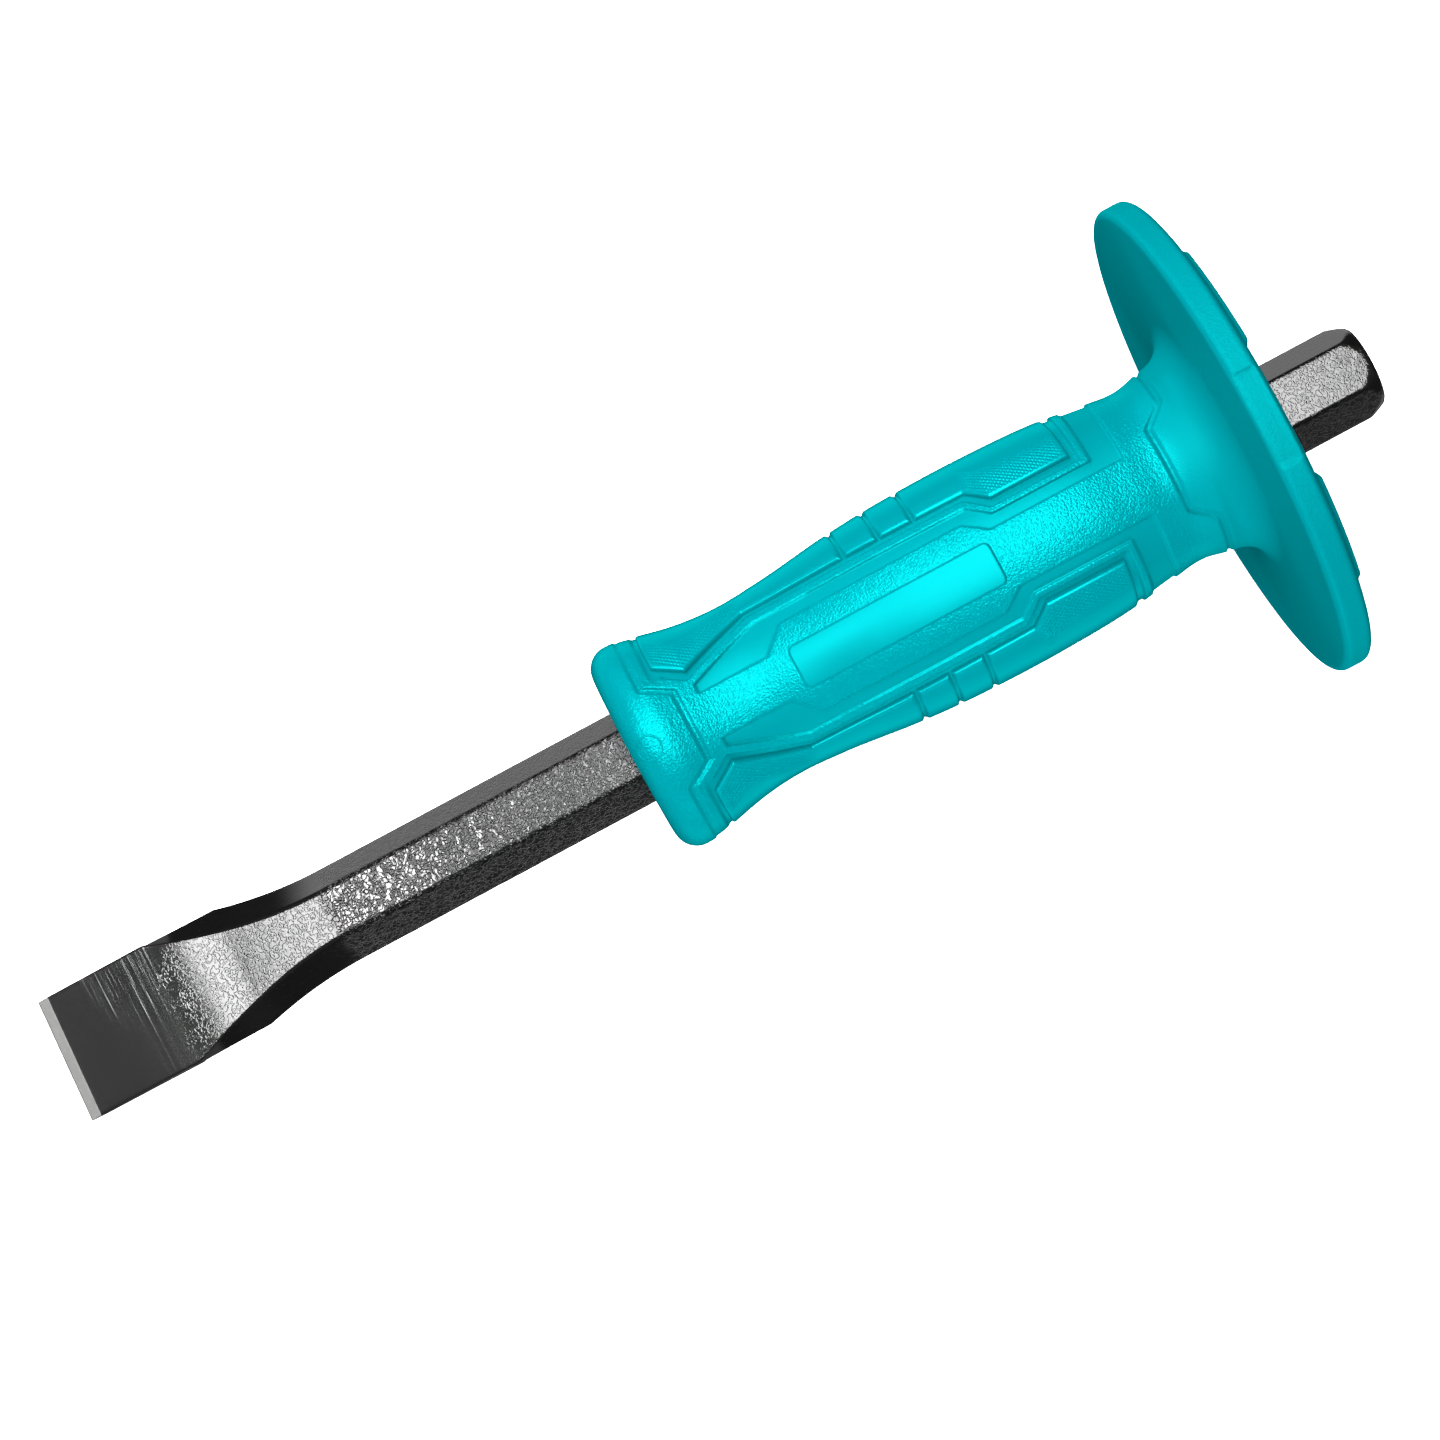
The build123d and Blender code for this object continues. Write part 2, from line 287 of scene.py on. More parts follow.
def feed(tree, node, inputs):
    """Gives each input of a node its value, or links another node's output to it."""
    for key, value in inputs.items():
        if isinstance(value, bpy.types.Node):
            value = value.outputs[0]
        if isinstance(value, bpy.types.NodeSocket):
            tree.links.new(value, node.inputs[key])
        else:
            node.inputs[key].default_value = value


def add_node(tree, kind, settings=None, inputs=None):
    """Adds one shader node: settings are its properties, and inputs are its values and links."""
    node = tree.nodes.new("ShaderNode" + kind)
    for key, value in (settings or {}).items():
        setattr(node, key, value)
    feed(tree, node, inputs or {})
    return node


def new_material(name):
    """An empty node material with its Principled shader and output joined up."""
    material = bpy.data.materials.new(name)
    material.use_nodes = True
    tree = material.node_tree
    tree.nodes.clear()
    shader = add_node(tree, "BsdfPrincipled")
    add_node(tree, "OutputMaterial", inputs={"Surface": shader})
    return material, tree, shader


def object_millimetres(tree, scale=(1, 1, 1)):
    """Object coordinates in millimetres, times scale."""
    place = add_node(tree, "TexCoord").outputs["Object"]
    return add_node(tree, "Mapping",
                    inputs={"Scale": tuple(s / MM for s in scale), "Vector": place})


# ---------------- materials

def clouded(tree, pattern, code, darkest):
    """A hex colour that sinks to the share darkest of itself where the pattern is 0."""
    dark, full = linear_rgb(code, darkest), linear_rgb(code)
    return add_node(tree, "Mix", COLOURS, {0: pattern, 6: dark, 7: full}).outputs[2]


def moulded_grip_material(settings):
    """Soft thermoplastic rubber from a textured steel mould.

    The mould's spark-eroded grain gives the broad panels a fine leathery sparkle, while
    finely blasted areas of the mould leave the channels and the flare dull. Their colour is
    also darkened a little there, as painted shade in these hollows and by the guard. The gloss
    is tinted by a clear coat, so that it takes the pigment's colour.
    """
    material, tree, shader = new_material("moulded_thermoplastic_rubber")
    place = object_millimetres(tree)
    cloud_scale = 0.12      # per mm, faint unevenness of the pigment
    cloud = add_node(tree, "TexNoise", inputs={"Scale": cloud_scale, "Detail": 2.0, 0: place})
    pigment = clouded(tree, cloud, settings.grip_colour, 0.95)
    dull_and_shade = add_node(tree, "Attribute", {"attribute_name": "dull_and_shade"}).outputs["Fac"]
    # Painted shade: the pigment is darkened by up to 13 per cent where the share is high, in the
    # channels and at the flare by the guard
    painted_shade_share = add_node(tree, "MapRange", SMOOTH, {0: dull_and_shade, 4: 0.13})
    colour = add_node(tree, "Mix", COLOURS,
                      {0: painted_shade_share, 6: pigment, 7: (0, 0, 0, 1)})

    grained = add_node(tree, "Attribute", {"attribute_name": "grain"}).outputs["Fac"]
    grain_size, grain_height = 0.42, 0.13       # mm
    grain = add_node(tree, "TexNoise",
                     inputs={"Scale": 1 / grain_size, "Detail": 1.0, "Roughness": 0.5, 0: place})
    height = add_node(tree, "Math", {"operation": "MULTIPLY"}, {0: grain, 1: grained})
    bump = add_node(tree, "Bump",
                    inputs={"Strength": 1.0, "Distance": grain_height * MM, "Height": height})
    roughness = add_node(tree, "MapRange", SMOOTH, {0: dull_and_shade, 3: 0.27, 4: 0.6})
    feed(tree, shader, {
        "Base Color": colour.outputs[2], "Normal": bump, "Roughness": roughness, "IOR": 1.65,
        "Coat Weight": 1.0, "Coat IOR": 1.0, "Coat Tint": (0.005, 1.0, 1.0, 1)})
    return material


def sleeve_material(settings):
    """Injection-moulded polypropylene: stiff, dull and slightly waxy, with a fine even grain."""
    material, tree, shader = new_material("moulded_polypropylene")
    grain_size, grain_height = 0.5, 0.03        # mm
    grain = add_node(tree, "TexNoise",
                     inputs={"Scale": 1 / grain_size, "Detail": 3.0, 0: object_millimetres(tree)})
    colour = clouded(tree, grain, settings.core_colour, 0.8)
    bump = add_node(tree, "Bump",
                    inputs={"Strength": 0.5, "Distance": grain_height * MM, "Height": grain})
    feed(tree, shader, {"Base Color": colour, "Normal": bump, "Roughness": 0.6})
    return material


def lacquer_material(settings):
    """Black baked lacquer over forged steel, ground flat on the blade before it was lacquered.

    Over the scale of the forging the lacquer dries to a coarse orange peel that breaks every
    reflection into bright and dark grains. On the blade the wheel has left long fine marks
    across the tool, and the lacquer over them is smooth and darker. Where the slanted faces
    start, loose forging scale is taken to leave the lacquer nearly matt.
    """
    material, tree, shader = new_material("black_lacquer_on_forged_steel")
    place = object_millimetres(tree)
    peel_share, mark_share, scale_share = [
        add_node(tree, "Attribute", {"attribute_name": name}).outputs["Fac"]
        for name in ("peel", "wheel_marks", "dull_scale")]

    peel_pitch = 0.9        # mm between the furrows of the orange peel
    furrow_share = 0.075    # furrow's half width on the noise's scale
    furrows = add_node(tree, "TexNoise",
                       inputs={"Scale": 1 / peel_pitch, "Detail": 1.0, "Roughness": 0.6, 0: place})
    from_middle = add_node(tree, "Math", {"operation": "SUBTRACT"}, {0: furrows, 1: 0.5})
    off_furrow = add_node(tree, "Math", {"operation": "ABSOLUTE"}, {0: from_middle})
    plateau = add_node(tree, "MapRange", SMOOTH, {0: off_furrow, 2: furrow_share})
    swell = add_node(tree, "TexNoise", inputs={"Scale": 0.9 / peel_pitch, "Detail": 1.0, 0: place})
    swollen = add_node(tree, "Math", {"operation": "MULTIPLY_ADD"}, {0: swell, 1: 0.8, 2: plateau})
    mean_peel = 1.05        # taken off, so that where the peel grows coarser the skin does not tilt
    centred = add_node(tree, "Math", {"operation": "SUBTRACT"}, {0: swollen, 1: mean_peel})
    peel = add_node(tree, "Math", {"operation": "MULTIPLY"}, {0: centred, 1: peel_share})

    mark_pitch = 0.8        # mm between the wheel's marks
    along_marks = 0.045     # per mm, how fast a mark changes along its length
    across = object_millimetres(tree, (1 / mark_pitch, along_marks, along_marks))
    marks = add_node(tree, "TexNoise", inputs={"Scale": 1.0, "Detail": 3.0, 0: across})
    deep_marks = add_node(tree, "Math", {"operation": "MULTIPLY"}, {0: marks, 1: 0.9})
    height = add_node(tree, "Math", {"operation": "MULTIPLY_ADD"},
                      {0: deep_marks, 1: mark_share, 2: peel})
    peel_height = 0.035     # mm
    bump = add_node(tree, "Bump",
                    inputs={"Strength": 1.0, "Distance": peel_height * MM, "Height": height})

    black = linear_rgb(settings.lacquer_colour)
    worn = (*(channel + 0.001 for channel in black[:3]), 1)
    colour = add_node(tree, "Mix", COLOURS, {0: swell, 6: black, 7: worn})
    smooth = add_node(tree, "MapRange", SMOOTH, {0: peel_share, 2: 0.6, 3: 0.1, 4: 0.15})
    roughness = add_node(tree, "Math", {"operation": "MULTIPLY_ADD"},
                         {0: scale_share, 1: 0.7, 2: smooth})
    feed(tree, shader, {"Base Color": colour.outputs[2], "Normal": bump, "Roughness": roughness,
                        "IOR": 1.55})
    return material


def ground_steel_material(settings):
    """Bare tool steel, ground on a fine wheel: bright, with hair-thin lines along the tool."""
    material, tree, shader = new_material("bare_ground_steel")
    line_pitch, line_height = 0.18, 0.02        # mm
    along = object_millimetres(tree, (0.15, 1 / line_pitch, 1 / line_pitch))
    lines = add_node(tree, "TexNoise", inputs={"Scale": 1.0, "Detail": 3.0, 0: along})
    colour = clouded(tree, lines, settings.steel_colour, 0.75)
    bump = add_node(tree, "Bump",
                    inputs={"Strength": 0.6, "Distance": line_height * MM, "Height": lines})
    roughness = add_node(tree, "MapRange", SMOOTH, {0: lines, 1: 0.2, 2: 0.8, 3: 0.5, 4: 0.65})
    feed(tree, shader, {"Base Color": colour, "Normal": bump, "Roughness": roughness, "Metallic": 1.0})
    return material


# ---------------- forged bar

TAPER_LENGTH = 58.0         # cutting edge to the full hexagon
PARALLEL_LENGTH = 37.0      # cutting edge to the end of the parallel sides
GROUND_LENGTH = 22.5        # cutting edge to where the slanted faces run out
HEAD_CHAMFER = 4.9
STRIKING_RADIUS = 7.7
EDGE_LEAN = 0.04            # the cutting edge is ground about two degrees out of square


def spread(hexagon_value, full_width_at, distance):
    """Half width of one edge: a circular arc from the hexagon out to the blade's half width."""
    run = np.clip((TAPER_LENGTH - distance) / (TAPER_LENGTH - full_width_at), 0, 1)
    return hexagon_value + (BLADE_HALF - hexagon_value) * run ** 2


def bar_half_thickness(distance, bevel_length):
    """Half thickness from the cutting edge back.

    A steep bevel, a nearly flat ground face, a hollow where the slope grows, a straight
    ramp, and then the full hexagon.
    """
    edge, bevel_root, ground_slope = 0.1, 1.2, 0.05
    hollow_start, hollow_end = 22.5, 38.0
    hollow = hollow_end - hollow_start
    ground_root = bevel_root + ground_slope * (hollow_start - bevel_length)
    ramp_slope = (HEX_APOTHEM - ground_root - ground_slope * hollow / 2)
    ramp_slope /= hollow / 2 + TAPER_LENGTH - hollow_end
    past = np.clip(distance - hollow_start, 0, hollow)
    ground = bevel_root + ground_slope * (distance - bevel_length)
    ramp = ground + (ramp_slope - ground_slope) * (past ** 2 / (2 * hollow))
    ramp += (ramp_slope - ground_slope) * np.clip(distance - hollow_end, 0, None)
    bevel = edge + (bevel_root - edge) * distance / bevel_length
    return soft_min(np.where(distance < bevel_length, bevel, ramp), HEX_APOTHEM + 0 * distance, 0.12)


def rounded_section(corners, radius, side_counts, arc_count):
    """Points round a closed section with rounded corners, the same number at every station.

    corners is (stations, corner, 2) and radius (stations, corner). Each corner becomes a
    quadratic curve between two tangent points, and each side is cut evenly between them.
    """
    before = np.roll(corners, 1, axis=1) - corners
    after = np.roll(corners, -1, axis=1) - corners
    length_before = np.linalg.norm(before, axis=2, keepdims=True) + 1e-9
    length_after = np.linalg.norm(after, axis=2, keepdims=True) + 1e-9
    before = before / length_before
    after = after / length_after
    cosine = np.clip((before * after).sum(2, keepdims=True), -1, 1)
    half = np.arccos(cosine) / 2
    reach = radius[:, :, None] / np.tan(half)
    reach = np.minimum(reach, 0.42 * np.minimum(length_before, length_after))
    arrive = corners + before * reach
    leave = corners + after * reach
    runs = []
    bends = np.linspace(0, 1, arc_count, endpoint=False)[None, :, None]
    for corner, count in enumerate(side_counts):
        start, knee, end = arrive[:, corner, None], corners[:, corner, None], leave[:, corner, None]
        runs.append(start * (1 - bends) ** 2 + 2 * knee * bends * (1 - bends) + end * bends ** 2)
        target = arrive[:, (corner + 1) % len(side_counts), None]
        shares = np.linspace(0, 1, count, endpoint=False)[None, :, None]
        runs.append(end + (target - end) * shares)
    return np.concatenate(runs, axis=1)


def bar_finish(points, thick):
    """Shares of orange peel, wheel marks and dull scale at points a distance behind the edge.

    The peel starts in a ragged line behind the ground face. It is fine on the ramp, coarse
    where the hexagon starts, and settles towards the head, and it is strongest on the flats.
    The wheel marks fade in along the blade and end where the peel takes over.
    """
    distance, across, height = np.moveaxis(points, -1, 0)
    on_plan = points * (1, 1, 0)
    ragged = 0.7 * wave_field(on_plan, 4.0, 3) + 0.5 * wave_field(on_plan, 1.3, 4)
    start = 21.3 + 3.0 * ease(5.0, 11.0, across)
    coarse = 0.25 + 2.3 * ease(55.5, 59.0, distance) - 0.8 * ease(80.0, 116.0, distance)
    coarse *= 1 - 0.65 * ease(120.0, 240.0, distance)
    on_flat = ease(0.93, 0.99, np.abs(height) / thick[:, None])
    faces_peel = 0.25 + 0.75 * np.maximum(on_flat, 0.5 * (across < -4))
    peel = ease(-1.5, 8.0, distance - start + ragged) * coarse * faces_peel
    peel *= 1 - ease(-EDGE_X - 0.2, -EDGE_X, distance)
    marks = ease(8.0, 15.0, distance + 0.25 * across) * (1 - ease(19.0, 25.0, distance - 0.1 * across))
    marks *= 0.35 + 0.65 * ease(-6.0, 8.0, across)
    scale = (1 - on_flat) * ease(19.0, 22.0, distance) * (1 - ease(24.5, 29.0, distance))
    return peel, marks, scale


def bar_surface(settings):
    """Points of the bar, and the shares of orange peel, wheel marks and dull scale on them.

    Each station's section has six corners, two on the mid plane and two on each broad face.
    Near the head the section is cut back to a cone and then drawn in to the striking face.
    """
    bevel = settings.bevel_length
    grip_hidden = GRIP_X - EDGE_X + 3
    total = -EDGE_X
    head_shown = total + (COVER_HIGH[0] - 5)
    along = stations_of(
        (0, bevel - 0.06, 0.3), (bevel - 0.06, bevel + 0.06, 0.06), (bevel + 0.06, 55.5, 0.42),
        (55.5, 60.0, 0.25), (60.0, grip_hidden, 0.42), (grip_hidden, head_shown, 5.0),
        (head_shown, total - HEAD_CHAMFER - 1.5, 0.42), (total - HEAD_CHAMFER - 1.5, total - 0.5, 0.22),
        (total - 0.5, total, 0.1))
    side = spread(HEX_CORNER, PARALLEL_LENGTH, along)
    face = spread(HEX_CORNER / 2, GROUND_LENGTH, along)
    thick = bar_half_thickness(along, bevel)
    upper = [np.stack(corner, -1) for corner in ((side, 0 * side), (face, thick), (-face, thick))]
    corners = np.stack(upper + [-corner for corner in upper], 1)
    forged = ease(22.0, 50.0, along)
    on_blade = settings.blade_corner_radius
    beside_flats = on_blade + forged * (settings.corner_radius - on_blade)
    at_sides = on_blade + forged * (settings.side_corner_radius - on_blade)
    radius = np.stack([at_sides, beside_flats, beside_flats] * 2, -1)
    radius = np.minimum(radius, thick[:, None] * 0.8)
    section = rounded_section(corners, radius, (20, 52, 20, 20, 52, 20), 4)

    cone = STRIKING_RADIUS + (total - along) * (HEX_CORNER + 0.6 - STRIKING_RADIUS) / HEAD_CHAMFER
    cone = cone - 0.35 * ease(total - 0.5, total, along)
    out = np.linalg.norm(section, axis=2)
    drawn_in = soft_min(out, cone[:, None] + 0 * out, 0.25)
    near_head = ease(total - HEAD_CHAMFER - 1.5, total - HEAD_CHAMFER, along)[:, None]
    section = section * (1 + near_head * (drawn_in / out - 1))[:, :, None]
    stations = np.broadcast_to(along[:, None, None], section.shape[:2] + (1,))
    points = np.concatenate([stations, section], 2)

    shrink = np.array([0.97, 0.85, 0.6, 0.3])       # rings across the striking face
    ends = np.repeat(points[-1:], len(shrink), 0)
    ends[:, :, 1:] *= shrink[:, None, None]
    points = np.concatenate([points, ends])
    thick = np.append(thick, thick[-1:].repeat(len(shrink)))
    peel, marks, scale = bar_finish(points, thick)

    outward = np.concatenate([0 * points[:, :, :1], points[:, :, 1:]], 2)
    outward /= np.linalg.norm(outward, axis=2, keepdims=True) + 1e-9
    wave = settings.skin_waviness * peel * wave_field(points, 2.6, 5)
    wave *= ease(6.0, 40.0, points[:, :, 0])        # none on the ground blade
    lean = EDGE_LEAN * points[:, :, 1] * (1 - ease(4.0, 18.0, points[:, :, 0]))
    points = points + outward * wave[:, :, None]
    points += np.stack([EDGE_X + lean, 0 * lean, 0 * lean], -1)
    return points, peel, marks, scale


def make_bar(settings):
    """The whole bar: lacquered, with a second slot of bare steel on the bevel."""
    points, peel, marks, scale = bar_surface(settings)
    rows, columns = points.shape[:2]
    bar = closed_tube("forged_bar", points, False, lacquer_material(settings))
    add_share(bar, "peel", peel)
    add_share(bar, "wheel_marks", marks)
    add_share(bar, "dull_scale", scale)
    bar.data.materials.append(ground_steel_material(settings))
    along = points[:, 0, 0] - EDGE_X - EDGE_LEAN * points[:, 0, 1]
    on_bevel = along < settings.bevel_length - 0.01
    bare = np.zeros(len(bar.data.polygons), np.int32)
    bare[:(rows - 1) * columns] = np.repeat(on_bevel[:-1], columns)
    bare[(rows - 1) * columns:rows * columns] = 1       # the narrow land of the edge itself
    bar.data.polygons.foreach_set("material_index", bare)
    bar.data.update()
    return bar


# ---------------- grip outline and relief
# Distances along the grip are from its front end. Offsets are from its middle line.

BODY_STATIONS = (4.5, 7.2, 11.2, 17.7, 26.2, 34.5, 49.6, 56.7, 64.7, 79.7, 94.2, 101.7, 109.9, 115.0)
BODY_RADII = (20.45, 20.3, 19.3, 17.9, 17.15, 17.6, 19.3, 19.85, 20.15, 20.15, 19.35, 18.3, 17.45, 18.6)
FLARE_START = 115.0
COLLAR_CORNER = 4.5
QUARTER = math.pi / 2

FRONT_LINE = [(12.1, 0.0), (12.1, 6.9), (6.9, 10.0), (6.9, 25.0)]
FRONT_LAND = [(8.5, 11.2), (8.5, 25.0)]
REAR_LINE = [(109.6, 0.0), (109.6, 8.2), (114.0, 11.8), (114.7, 25.0)]
PAD_GROOVE = [(10.0, 25.0), (9.8, 11.6), (15.4, 8.2), (29.65, 13.1), (74.3, 13.1), (78.2, 9.8),
              (95.6, 9.8), (95.9, 25.0)]
PAD_EDGE = [(10.6, 12.6), (15.6, 9.3), (29.65, 14.0), (74.9, 14.0), (78.7, 10.9), (94.6, 10.9)]
CHANNEL = [(16.0, 4.5), (30.0, 4.5), (34.7, 8.9), (71.4, 8.9), (75.8, 5.75), (103.1, 5.75),
           (103.6, 25.0), (98.4, 25.0), (97.6, 8.2), (77.5, 8.2), (73.6, 11.3), (30.3, 11.3),
           (16.0, 6.3)]
CROSS_GROOVES = (50.6, 57.7, 64.7)


def body_radius(along):
    """Radius of the plain grip at a distance from its front."""
    return curve_through(BODY_STATIONS, BODY_RADII, along)


def unrolled(line):
    """A line of (along, offset) points as (along, arc length round the grip from the middle).

    Offsets past the side of the grip run a little beyond the quarter turn.
    """
    beyond = QUARTER + 0.1
    result = []
    for along, offset in line:
        radius = float(body_radius(np.array(along)))
        result.append((along, radius * (math.asin(offset / radius) if offset < radius else beyond)))
    return result


def line_groove(x, arc, line, width, depth):
    """A flat-bottomed groove of the given width along a line, with rounded walls."""
    off = distance_to_line(x, arc, unrolled(line))
    return -depth * (1 - ease(width / 2 - 0.2, width / 2 + 0.15, off))


def grip_relief(x, angle, settings):
    """Height of the grip's moulded relief above its plain turned surface, its grain, and its dullness,
    which also sets the painted shade.

    The pattern is the same in all four quarters, so the angle is folded into one of them.
    """
    folded = np.abs(angle)
    folded = np.minimum(folded, math.pi - folded)
    arc = folded * body_radius(x)
    shallower = 1 - 0.4 * ease(0.55, 1.0, folded / QUARTER)
    relief = line_groove(x, arc, FRONT_LINE, 1.1, settings.line_depth) * shallower
    relief = relief + line_groove(x, arc, REAR_LINE, 1.1, settings.line_depth)
    relief = np.minimum(relief, line_groove(x, arc, FRONT_LAND, 2.4, 0.3))
    channel = depth_inside(x, arc, unrolled(CHANNEL))
    relief = relief - settings.channel_depth * ease(-0.15, 0.2, channel)
    pocket = depth_inside(x, arc, unrolled(PAD_GROOVE))
    relief = np.minimum(relief, -settings.pad_depth * ease(-0.7, -0.3, pocket) * shallower)
    smooth = np.maximum(ease(-0.2, 0.2, channel), ease(-0.9, -0.5, pocket))
    near_guard = ease(GUARD_FRONT - 16, GUARD_FRONT - 5, x)
    grain = (1 - smooth) * (1 - near_guard)
    # The last share dulls the finish and also darkens the colour as painted shade: half in the
    # channels, fully by the guard
    return relief, grain, np.maximum(0.5 * ease(-0.2, 0.2, channel), near_guard)


# ---------------- grip and guard

def quarter_angles_on_grip(x):
    """Column angles of one quarter at each station, crowded where the pads' edges run."""
    edge_line = np.array(unrolled([(0.0, 9.0)] + PAD_GROOVE[2:6] + [(109.7, 9.8), (121.7, 9.8)]))
    centre = np.interp(x, edge_line[:, 0], edge_line[:, 1])
    radius = body_radius(np.clip(x, COLLAR_CORNER, FLARE_START))
    inner = np.interp(x, (0, 36, 42, 69, 74, 122), (3.6, 3.6, 7.5, 7.5, 4.6, 4.6))
    low, high = inner / radius, (centre + 1.9) / radius
    parts = [np.linspace(0, low, 7)[:-1], np.linspace(low, high, 47)[:-1],
             np.linspace(high, QUARTER + 0 * x, 16)]
    return np.concatenate(parts).T


def quarter_angles_on_guard(patch_angle, pad_start, pad_end):
    """Column angles of one quarter on the guard, crowded at the patch's end and the pads' ends."""
    slope = REAR_PAD_SLOPE
    stops = [(0, patch_angle - 0.006, 10), (patch_angle - 0.006, patch_angle + 0.006, 2),
             (patch_angle + 0.006, pad_start, 7), (pad_start, pad_start + slope, 4),
             (pad_start + slope, pad_end - slope, 18), (pad_end - slope, pad_end, 4),
             (pad_end, QUARTER, 22)]
    parts = [np.linspace(start, end, count, endpoint=False) for start, end, count in stops]
    return np.append(np.concatenate(parts), QUARTER)


def seated_points(along, radius, angle):
    """Points at a distance along the grip, a radius and an angle, turned to the grip's seat."""
    turned = angle - GRIP_TURN
    return np.stack([along + GRIP_X, radius * np.sin(turned), radius * np.cos(turned)], -1)


def full_turn(quarter):
    """Angles all the way round from those of one quarter, mirrored about both mid planes."""
    half = np.concatenate([quarter, (math.pi - quarter[:, ::-1])[:, 1:]], 1)
    return np.concatenate([half, -half[:, ::-1][:, 1:-1]], 1)


def hexagon_radius(angle, apothem):
    """Distance from the axis to a hexagon with a flat facing up."""
    sixth = math.pi / 3
    return apothem / np.cos(np.mod(angle + sixth / 2, sixth) - sixth / 2)


def arc_points(centre, radius, start, end, count):
    """Points on a circular arc in the (along, radius) plane, angles in degrees."""
    turn = np.radians(np.linspace(start, end, count))
    return np.stack([centre[0] + radius * np.cos(turn), centre[1] + radius * np.sin(turn)], 1)


def grip_surface(settings):
    """Points of the soft grip and guard as one closed ring, and the grain and the dullness with its
    painted shade on them.

    The outside profile runs from the front lip over the grip, the flare and the guard's rim
    to the rear face. The inside profile comes back round the stiff sleeve and its flange, so
    rows and columns both close.
    """
    body = stations_of((COLLAR_CORNER, 5.7, 0.6), (5.7, 36.5, 0.3), (36.5, 69, 1.0), (69, 79, 0.3),
                       (79, 93, 1.0), (93, 99.5, 0.3), (99.5, 102.3, 0.7), (102.3, 104.2, 0.24),
                       (104.2, 108.5, 0.5), (108.5, FLARE_START, 0.3))
    collar = arc_points((COLLAR_CORNER, BODY_RADII[0] - COLLAR_CORNER), COLLAR_CORNER, 180, 90, 14)[:-1]
    outer = np.stack([body, body_radius(body)], 1)
    fillet = settings.flare_radius
    flare = arc_points((GUARD_FRONT - fillet, BODY_RADII[-1] + fillet), fillet, -90, 0, 26)[1:]
    rim = settings.rim_radius
    face_end = GUARD_RADIUS - rim
    face = np.stack([np.full(12, GUARD_FRONT), np.linspace(flare[-1, 1], face_end, 13)[1:]], 1)
    rim_front = arc_points((GUARD_FRONT + rim, face_end), rim, 180, 90, 9)[1:]
    across = np.concatenate([[0.07, 0.1], np.linspace(0.14, 0.86, 9), [0.89, 0.92]]) * GUARD_THICKNESS
    across = across[(across > rim + 0.05) & (across < GUARD_THICKNESS - rim - 0.05)]
    band = np.stack([GUARD_FRONT + across, np.full(len(across), GUARD_RADIUS)], 1)
    rim_rear = arc_points((GUARD_REAR - rim, face_end), rim, 90, 0, 9)
    pad_outer, pad_inner = GUARD_RADIUS - 1.9, GUARD_RADIUS - 10.3
    rear_radii = np.concatenate([
        [pad_outer + 0.05], np.linspace(pad_outer - 0.1, pad_outer - 0.7, 4),
        np.linspace(pad_outer - 1.5, pad_inner + 1.5, 5),
        np.linspace(pad_inner + 0.7, pad_inner + 0.1, 4), [pad_inner - 0.05, 30, 20, 12]])
    rear_face = np.stack([np.full(len(rear_radii), GUARD_REAR), rear_radii], 1)
    outside = np.concatenate([collar, outer, flare, face, rim_front, band, rim_rear[:-1], rear_face])

    flange_rear = CORE_HIGH[0] - GRIP_X + 0.05
    flange_front = flange_rear - 2.7
    sleeve, flange, lip_rear = 12.65, CORE_HIGH[1] + 0.05, 3.45
    inside = np.array([
        (GUARD_REAR, 0), (flange_rear, 0), (flange_rear, sleeve), (flange_rear, flange),
        (flange_front, flange), (flange_front, sleeve), (60, sleeve), (lip_rear, sleeve),
        (lip_rear, 0), (0, 0)])     # a radius of 0 stands for the hexagonal bore
    lip = np.array([(0.0, 10.0), (0.0, 12.5), (0.0, 14.5)])
    profile = np.concatenate([outside, inside, lip])

    x = profile[:, :1]
    on_guard = ease(FLARE_START - 1, GUARD_FRONT - 1.0, np.maximum(profile[:, 0], 0))
    on_guard[len(outside):] = 1
    on_guard[len(outside) + 6:] = 0
    patch_angle = 9.0 / GUARD_RADIUS
    pad_start, pad_end = math.radians(15.5), math.radians(46.5)
    on_grip = quarter_angles_on_grip(np.clip(profile[:, 0], 0, FLARE_START + 6))
    guard = quarter_angles_on_guard(patch_angle, pad_start, pad_end)
    quarter = on_grip + on_guard[:, None] * (guard[None, :] - on_grip)
    angle = full_turn(quarter)

    radius = np.broadcast_to(profile[:, 1:], angle.shape).copy()
    bore = radius == 0
    radius = np.where(bore, hexagon_radius(angle - GRIP_TURN, HEX_APOTHEM + 0.05), radius)
    x = np.broadcast_to(x, angle.shape).copy()

    relief, grain, dull_and_shade = grip_relief(x, angle, settings)
    on_body = (np.arange(len(profile)) < len(collar) + len(outer))[:, None]
    radius = radius + np.where(on_body, relief, 0)
    on_outside = (np.arange(len(profile)) < len(outside))[:, None]
    grain = np.where(on_body, grain, 0)

    fold = np.minimum(np.abs(angle), math.pi - np.abs(angle))
    on_band = on_outside & (radius > GUARD_RADIUS - 0.4)
    patch_share = (1 - ease(patch_angle - 0.005, patch_angle + 0.005, np.abs(angle)))
    past_front = ease(GUARD_FRONT + 0.4, GUARD_FRONT + 1.0, x)
    edge_share = past_front * (1 - ease(GUARD_REAR - 1.45, GUARD_REAR - 1.0, x))
    patch_depth = 0.35 * patch_share * edge_share
    radius = radius - patch_depth * (on_outside & (radius > GUARD_RADIUS - 2))
    grain = np.maximum(grain, np.where(on_band, 0.8, 0))

